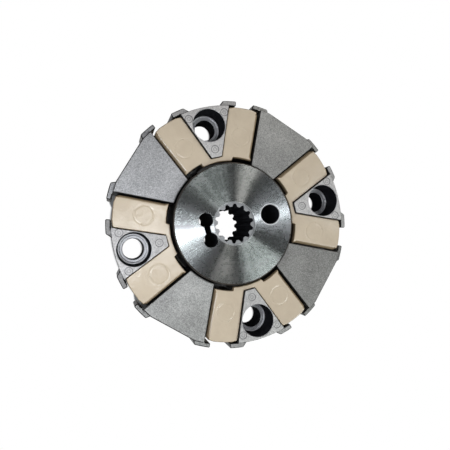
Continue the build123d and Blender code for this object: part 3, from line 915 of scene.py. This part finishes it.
@dataclass
class ElasticStar:
    """The moulded star, as two mirrored half pads beside each axial insert.

    A half pad lies between the axial insert's flank and the radial insert's flank, and reaches under the
    axial insert's tip to its middle. Sizes are in millimetres, and the angles count from the axial insert's
    middle. The front rounds off with a radius that runs from axial_round over outer_round on the rim to
    radial_round, and the fades are the shares of the rim and of the radial flank in which it changes.
    """

    pairs: int = 4
    half_pitch: float = 22.5
    axial_flank_offset: float = 17.3
    radial_flank_turn: float = 24.5
    radial_flank_offset: float = 6.626
    outer_radius: float = 97.5
    inner_radius: float = 55.0
    web_radius: float = 52.0
    web_half_angle: float = 13.3
    web_step_angle: float = 14.5
    tip_distance: float = 55.8
    axial_corner: float = 2.1
    radial_corner: float = 3.5
    axial_round: float = 0.8
    radial_round: float = 3.0
    radial_fall: float = 1.7
    inner_round: float = 0.8
    outer_round: float = 1.0
    rear_round: float = 0.8
    rim_fade: float = 0.1
    inner_fade: float = 0.07
    ring_distance: float = 72.7
    ring_turn: float = 19.5
    ring_radius: float = 7.65
    ring_half_width: float = 0.75
    ring_depth: float = 0.28
    band_inner_radius: float = 50.5
    band_outer_radius: float = 62.0
    band_thickness: float = 3.5
    band_lift: float = 0.06
    band_round: float = 0.6
    band_overlap: float = 0.6
    sag: float = 0.12
    sag_waves: tuple[float, float] = (5.3, 4.1)
    sag_start: float = 0.6
    axial_gap: float = 0.35
    radial_gap: float = 0.6
    rim_gap: float = 0.5
    ear_gap: float = 1.0
    ear_cover: float = 0.14
    bend_end_offset: float = 8.5
    bottom_counts: tuple[int, ...] = (16, 20, 9, 56)
    outward_rows: int = 112
    web_rows: int = 14
    band_rows: int = 36
    wall_rows: int = 7
    flank_points: int = 80
    rim_points: int = 60
    inner_points: int = 40
    web_points: int = 30
    tip_points: int = 20
    corner_points: int = 15
    throat_points: int = 12
    step_points: int = 8
    material: bpy.types.Material | None = None

    def corners(self) -> None:
        """Works out the plan corners from the flanks, the rim and the tip."""
        turn = math.radians(self.half_pitch)
        self.axial_side = self.axial_flank_offset - self.axial_gap
        self.radial_side = self.radial_flank_offset - self.radial_gap
        half_tip = (self.tip_distance * math.sin(turn) - self.axial_side) / math.cos(turn)
        self.pocket = np.array([self.tip_distance, half_tip])
        self.throat = polar(self.web_radius, math.degrees(math.asin(half_tip / self.web_radius)))
        along = math.sqrt(self.inner_radius ** 2 - self.radial_side ** 2)
        self.inner_end = line_point(self.radial_flank_turn, self.radial_side, along)

    def rounded_corner(self, direction: float, offset: float, radius: float,
                       inward: float) -> tuple[np.ndarray, np.ndarray, float]:
        """Arc between a flank and the rim circle.

        Args:
            direction: angle of the flank.
            offset: signed offset of the flank.
            radius: radius of the arc.
            inward: 1 where the pad lies to the flank's left, -1 where it lies to its right.

        Returns:
            The half of the arc at the flank, the half at the rim, and the angle at which the rim starts.
        """
        centre_offset = offset + inward * radius
        reach = self.outer_radius - self.ear_gap - radius
        centre = line_point(direction, centre_offset, math.sqrt(reach ** 2 - centre_offset ** 2))
        flank, rim = direction - inward * 90.0, angle_of(centre)
        middle, shares = (flank + rim) / 2, np.linspace(0.0, 1.0, self.corner_points)
        return (arc_points(centre, radius, flank, middle, shares),
                arc_points(centre, radius, middle, rim, shares), rim)

    def outline(self) -> None:
        """Works out the sides of the pad and the two chains of edges that its front rounds off to."""
        self.corners()
        arc_a, top_a, rim_a = self.rounded_corner(self.half_pitch, -self.axial_side, self.axial_corner, 1.0)
        arc_r, top_r, rim_r = self.rounded_corner(self.radial_flank_turn, self.radial_side,
                                                  self.radial_corner, -1.0)
        shares = np.linspace(0.0, 1.0, self.rim_points)
        covered = np.clip(1.0 - np.minimum(shares, 1.0 - shares) / self.ear_cover, 0.0, 1.0)
        gap = self.rim_gap + (self.ear_gap - self.rim_gap) * covered ** 2 * (3 - 2 * covered)
        rim = polar(self.outer_radius - gap, rim_a + (rim_r - rim_a) * shares)
        inner_angles = np.linspace(self.web_step_angle, angle_of(self.inner_end), self.inner_points)
        inner = polar(self.inner_radius, inner_angles)
        step = np.linspace(polar(self.web_radius, self.web_half_angle), inner[0], self.step_points)
        throat = angle_of(self.throat)
        web = polar(self.web_radius, np.linspace(throat, self.web_half_angle, self.web_points))
        self.left = joined(np.linspace(self.pocket, arc_a[0], self.flank_points), arc_a)
        self.right = joined(np.linspace(self.inner_end, arc_r[0], self.flank_points), arc_r)
        self.top = joined(top_a, rim, top_r[::-1])
        seam = np.linspace(self.pocket, self.throat, self.throat_points)
        self.bottom_parts = (seam, web, step, inner)
        tip = np.linspace(np.array([self.tip_distance, 0.0]), self.pocket, self.tip_points)
        web_end = polar(self.web_radius, np.linspace(0.0, throat, self.throat_points))
        self.outer_chain = joined(tip, self.left, self.top, self.right[::-1])
        self.inner_chain = joined(web_end, web, step, inner)
        along, across = (np.linspace(0.0, 1.0, len(side) - 1) for side in (self.right, self.top))
        radial = np.interp(along, (1 - self.inner_fade, 1), (self.radial_round, self.inner_round))
        rim_round = np.interp(across, (0, self.rim_fade, 1 - self.rim_fade, 1),
                              (self.axial_round, self.outer_round, self.outer_round, self.radial_round))
        axial = np.full(len(tip) + len(self.left) - 1, self.axial_round)
        self.outer_rounds = np.concatenate([axial, rim_round, radial])

    def block_plan(self) -> np.ndarray:
        """Plan of the block: a patch filled in from its four sides.

        The point at u across and v outwards is the blend of bottom and top by v, plus the blend of left
        and right by u, minus the blend of the four corners by both.

        Returns:
            The grid of x and y.
        """
        stretches = [resampled(part, closer_at_ends(count))
                     for part, count in zip(self.bottom_parts, self.bottom_counts)]
        bottom = joined(*stretches)
        steps = np.linalg.norm(np.diff(bottom, axis=0), axis=1)
        u = np.concatenate([[0.0], np.cumsum(steps)]) / steps.sum()
        v = closer_at_ends(self.outward_rows)
        top = resampled(self.top, u)
        left, right = resampled(self.left, v), resampled(self.right, v)
        across, outwards = u[None, :, None], v[:, None, None]
        sides = (1 - outwards) * bottom[None] + outwards * top[None]
        ends = (1 - across) * left[:, None] + across * right[:, None]
        corner = ((1 - across) * (1 - outwards) * bottom[0] + across * (1 - outwards) * bottom[-1]
                  + (1 - across) * outwards * top[0] + across * outwards * top[-1])
        self.seam = stretches[0]
        return sides + ends - corner

    def web_plan(self) -> np.ndarray:
        """Plan of the web beside the axial insert's tip: the seam slid along the web to the middle.

        Returns:
            The grid of x and y.
        """
        share = np.linspace(0.0, 1.0, self.web_rows)[:, None, None]
        radius = np.linspace(self.tip_distance, self.web_radius, len(self.seam))
        middle = np.stack([radius, np.zeros(len(radius))], axis=-1)
        grid = (1 - share) * middle[None] + share * self.seam[None]
        grid[:, -1] = polar(self.web_radius, angle_of(self.throat) * share[:, 0, 0])
        return grid

    def edge_fall(self, plan: np.ndarray, outer_rounds: np.ndarray | float, inner_round: float) -> np.ndarray:
        """Fall of the rounded edges: the larger of the falls beside the outer chain and the inner one.

        Where the outer radius grows past the rim's own, its fall grows too, up to radial_fall times.

        Args:
            plan: grid of x and y.
            outer_rounds: radius at each corner of the outer chain, or one for all.
            inner_round: radius of the inner chain.

        Returns:
            A fall for each point of the grid.
        """
        flat = plan.reshape(-1, 2)
        distance, rounds = nearest(flat, self.outer_chain, outer_rounds)
        growth = np.clip((rounds - self.outer_round) / (self.radial_round - self.outer_round), 0.0, 1.0)
        outer = drop(distance, rounds) * (1 + (self.radial_fall - 1) * growth)
        inner = drop(*nearest(flat, self.inner_chain, inner_round))
        return np.maximum(outer, inner).reshape(plan.shape[:2])

    def front_heights(self, plan: np.ndarray, front: float) -> np.ndarray:
        """Heights of the front: flat, less the rounded edges, a slow sag and a cosine groove round the ring.

        Args:
            plan: grid of x and y.
            front: height of the flat front.

        Returns:
            A height for each point of the grid.
        """
        centre = polar(self.ring_distance, self.ring_turn)
        away = (np.linalg.norm(plan - centre, axis=-1) - self.ring_radius) / self.ring_half_width
        groove = self.ring_depth * np.where(np.abs(away) < 1, 0.5 + 0.5 * np.cos(np.pi * away), 0.0)
        x, y = plan[..., 0] / self.sag_waves[0], plan[..., 1] / self.sag_waves[1]
        sag = self.sag * (np.sin(x + self.sag_start) * np.sin(y) + 1.0) / 2
        return front - self.edge_fall(plan, self.outer_rounds, self.inner_round) - groove - sag

    def wall(self, surface: Surface, front: np.ndarray, rear: np.ndarray) -> None:
        """Adds a wall between matching rows of the front and the rear."""
        share = np.linspace(0.0, 1.0, self.wall_rows)[:, None, None]
        surface.add((1 - share) * front[None] + share * rear[None])

    def add_band(self, surface: Surface, rear: float) -> None:
        """Adds the half band behind the radial foot: a rounded rectangle carried along an arc, ends closed.

        Args:
            surface: the half pad's surface.
            rear: height of the pad's rear.
        """
        soft = self.band_round
        low, high = self.band_inner_radius + soft, self.band_outer_radius - soft
        bottom, top = rear + self.band_lift + soft, rear + self.band_thickness - soft
        quarter = np.linspace(0.0, 90.0, 5)
        corners = ((high, top, 0.0), (low, top, 90.0), (low, bottom, 180.0), (high, bottom, 270.0))
        section = np.concatenate([np.array([x, z]) + polar(soft, quarter + start) for x, z, start in corners])
        first, last = self.web_half_angle - self.band_overlap, 2 * self.half_pitch
        angles = np.linspace(first, last, self.band_rows)[:, None]
        ring = np.empty((len(angles), len(section), 3))
        ring[..., :2] = polar(section[:, 0], angles)
        ring[..., 2] = section[:, 1]
        surface.add(ring, wrap=True)
        for end in (ring[0], ring[-1]):
            surface.add(np.stack([end, np.broadcast_to(end.mean(axis=0), end.shape)]), wrap=True)

    def half_pad(self, front: float, rear: float) -> Surface:
        """Closed surface of one half pad, on the positive side of the X axis.

        Args:
            front: height of the flat front.
            rear: height of the flat rear.

        Returns:
            The surface.
        """
        self.outline()
        surface = Surface()
        block = self.block_plan()
        seam = len(self.seam) - 1
        outer = (np.s_[:, 0], np.s_[:, -1], np.s_[-1, :], np.s_[0, seam:])
        for plan, sides in ((block, outer), (self.web_plan(), (np.s_[:, 0], np.s_[:, -1], np.s_[0, :]))):
            top = np.concatenate([plan, self.front_heights(plan, front)[..., None]], axis=-1)
            back = rear + self.edge_fall(plan, self.rear_round, self.rear_round)
            under = np.concatenate([plan, back[..., None]], axis=-1)
            surface.add(top)
            surface.add(under)
            for side in sides:
                self.wall(surface, top[side], under[side])
        self.add_band(surface, rear)
        return surface

    def build(self) -> None:
        """Makes the eight half pads."""
        low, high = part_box("elastic_element")
        surface = self.half_pad(high[2] / MM, low[2] / MM)
        for number in range(self.pairs):
            for letter, side in (("a", 1), ("b", -1)):
                turn = number * 360.0 / self.pairs
                piece = surface.build(f"elastic_pad_{number + 1}{letter}", turn, mirrored=side < 0)
                piece.data.materials.append(self.material)
                towards_axial = polar(1.0, turn + side * (self.half_pitch - 90.0))
                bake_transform(piece)
                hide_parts("elastic_element")
                log.info("%s bends between the two sides", piece.name)


@dataclass(frozen=True)
class PhotoCamera:
    """The camera that was solved from the photograph, in millimetres and degrees."""

    position: tuple[float, float, float] = (-96.06, 11.991, 400.049)
    target: tuple[float, float, float] = (-7.452, 0.674, 50.0)
    roll: float = 14.0717
    focal_pixels: float = 443.36
    picture_pixels: float = 450.0
    sensor: float = 36.0

    def build(self) -> None:
        """Places the camera: it looks at the target and rolls about its own axis."""
        position, target = Vector(self.position) * MM, Vector(self.target) * MM
        ahead = (target - position).normalized()
        side = ahead.cross(Vector((0.0, 1.0, 0.0))).normalized()
        up = side.cross(ahead)
        turn = math.radians(self.roll)
        rolled_up = up * math.cos(turn) + side * math.sin(turn)
        rolled_side = ahead.cross(rolled_up)
        data = bpy.data.cameras.new("camera")
        data.sensor_width = self.sensor
        data.lens = self.focal_pixels * self.sensor / self.picture_pixels
        camera = linked("camera", data)
        turned = Matrix((rolled_side, rolled_up, -ahead)).transposed().to_4x4()
        camera.matrix_world = Matrix.Translation(position) @ turned
        bpy.context.scene.camera = camera


@dataclass(frozen=True)
class Lamp:
    """A soft rectangular lamp that shines at the part's middle, sized in metres and watts."""

    name: str
    azimuth: float
    elevation: float
    distance: float
    width: float
    height: float
    power: float
    colour: Colour = (1.0, 1.0, 1.0)


@dataclass
class Studio:
    """Pale floor, soft dome and lamps."""

    floor_size: float = 6.0
    floor_white: float = 0.86
    # Colour of the painted shadow under the part.
    under_white: float = 0.3
    shadow_radius: float = 97.8
    shadow_soft: float = 1.4
    ear_angles: tuple[float, float] = (25.0, 32.2)
    ear_shadow: float = 3.0
    ear_outer_fade: float = 0.04
    ear_inner_fade: float = 0.02
    gloss_shadow_reach: float = 170.0
    gloss_under: float = 0.1
    bore_light: float = 22.0
    bore_fade: float = 3.0
    hole_light: float = 12.0
    hole_fade: float = 2.0
    hole_distance: float = 84.8
    dome_low: float = 0.85
    dome_low_height: float = 0.03
    dome_high: float = 0.055
    dome_high_height: float = 0.3
    lamps: tuple[Lamp, ...] = (
        Lamp("near_left", 182.2, 57.5, 0.35, 0.06, 0.275, 0.42, (0.92, 0.965, 1.0)),
        Lamp("halo_left", 193.0, 57.5, 0.5, 0.4, 0.3, 0.12, (0.8, 0.9, 1.0)),
        Lamp("overhead", 197.0, 86.6, 0.391, 0.11, 0.06, 0.094, (0.93, 0.965, 1.0)),
        Lamp("far_right", 43.5, 39.1, 0.9, 0.2, 0.2, 1.35, (1.0, 0.99, 0.93)),
        Lamp("wide_low", 305.7, 43.0, 0.9, 0.406, 0.3, 2.6, (0.93, 1.0, 0.97)),
        Lamp("narrow_right", 356.1, 53.2, 0.9, 0.05, 0.25, 0.25, (0.9, 0.95, 1.0)),
    )

    def shadow(self, net: Network) -> tuple[Value, Value]:
        """Painted contact shadow under the part, as two masks that are 1 where the floor keeps its own white.

        The first rises from 0 to 1 past the shadow's radius, which is larger under the ears of the radial
        inserts, and is 1 under the bore and the four bolt holes, where light comes through. The second rises
        more slowly. Every quarter is folded onto one, with far and near the larger and smaller of x and y.

        Args:
            net: the floor's network.

        Returns:
            The sharp mask and the soft one.
        """
        x, y, _ = net.split(net.coordinates())
        far, near = net.larger(abs(x), abs(y)), net.smaller(abs(x), abs(y))

        def away(centre: float) -> Value:
            """Distance from a place on the nearest half axis, in millimetres."""
            return net.length(far - centre * MM, near)

        edge, slope = self.shadow_radius * MM, near / far
        first, last = (math.tan(math.radians(angle)) for angle in self.ear_angles)
        outside, inside = self.ear_outer_fade, self.ear_inner_fade
        under_ear = (net.remap(slope, first - outside, first + inside, 0.0, self.ear_shadow * MM)
                     * net.remap(slope, last - inside, last + outside, 1.0, 0.0))
        sharp = net.remap(away(0.0) - under_ear, edge, edge + self.shadow_soft * MM, 0.0, 1.0)
        for centre, radius, fade in ((0.0, self.bore_light, self.bore_fade),
                                     (self.hole_distance, self.hole_light, self.hole_fade)):
            sharp = net.larger(sharp, net.remap(away(centre), (radius - fade) * MM, radius * MM, 1.0, 0.0))
        return sharp, net.remap(away(0.0), edge, self.gloss_shadow_reach * MM, self.gloss_under, 1.0)

    def floor(self) -> None:
        """Makes the floor: a matt white sheet that glows for the camera and reflections, with a painted
        shadow under the part, clear from below.
        """
        half = self.floor_size / 2
        mesh = bpy.data.meshes.new("floor")
        corners = [(x * half, y * half, 0.0) for x, y in ((-1, -1), (1, -1), (1, 1), (-1, 1))]
        mesh.from_pydata(corners, [], [(0, 1, 2, 3)])
        floor = linked("floor", mesh)
        material = bpy.data.materials.new("white_floor")
        net = emptied(material)
        path = net.outputs("LightPath")
        sharp, slow = self.shadow(net)
        straight = net.larger(path["Is Camera Ray"], path["Is Transmission Ray"]) * sharp
        seen = net.larger(straight, path["Is Glossy Ray"] * slow)
        white = net.mix(sharp, (self.under_white,) * 3, (self.floor_white,) * 3)
        matt, glow = net.value("BsdfDiffuse", {"Color": white}), net.value("Emission", {"Color": WHITE})
        front = net.value("MixShader", {0: seen, 1: matt, 2: glow})
        clear, behind = net.value("BsdfTransparent"), net.value("NewGeometry", output="Backfacing")
        net.add("OutputMaterial", {0: net.value("MixShader", {0: behind, 1: front, 2: clear})})
        floor.data.materials.append(material)

    def dome(self) -> None:
        """Makes the dome: light at the horizon, darker with the height's sine, white to the camera."""
        world = bpy.data.worlds.new("dome")
        bpy.context.scene.world = world
        net = emptied(world)
        height = net.split(net.value("TexCoord", output="Generated"))[2]
        strength = net.larger(net.remap(height, self.dome_low_height, self.dome_high_height,
                                        self.dome_low, self.dome_high),
                              net.value("LightPath", output="Is Camera Ray"))
        net.add("OutputWorld", {0: net.value("Background", {"Color": WHITE, "Strength": strength})})

    def light(self, lamp: Lamp) -> None:
        """Hangs one lamp, unseen by the camera.

        Args:
            lamp: the lamp.
        """
        data = bpy.data.lights.new(lamp.name, "AREA")
        data.shape = "RECTANGLE"
        data.size, data.size_y = lamp.width, lamp.height
        data.energy = lamp.power
        data.color = lamp.colour
        holder = linked(lamp.name, data)
        flat = math.cos(math.radians(lamp.elevation))
        place = Vector((*(polar(flat, lamp.azimuth)), math.sin(math.radians(lamp.elevation)))) * lamp.distance
        holder.location = place
        holder.rotation_euler = place.to_track_quat("Z", "Y").to_euler()
        holder.visible_camera = False

    def build(self) -> None:
        """Sets up the floor, the dome, the lamps and the plain view."""
        self.floor()
        self.dome()
        for lamp in self.lamps:
            self.light(lamp)
        bpy.context.scene.view_settings.view_transform = "Standard"


def main() -> None:
    """Builds the studio, the camera and every piece."""
    logging.basicConfig(level=logging.INFO, format="%(message)s")
    PhotoCamera().build()
    Studio().build()
    materials = Finishes().build()
    RigidParts(materials=materials).build()
    ElasticStar(material=materials["elastomer"]).build()


if __name__ == "__main__":
    main()
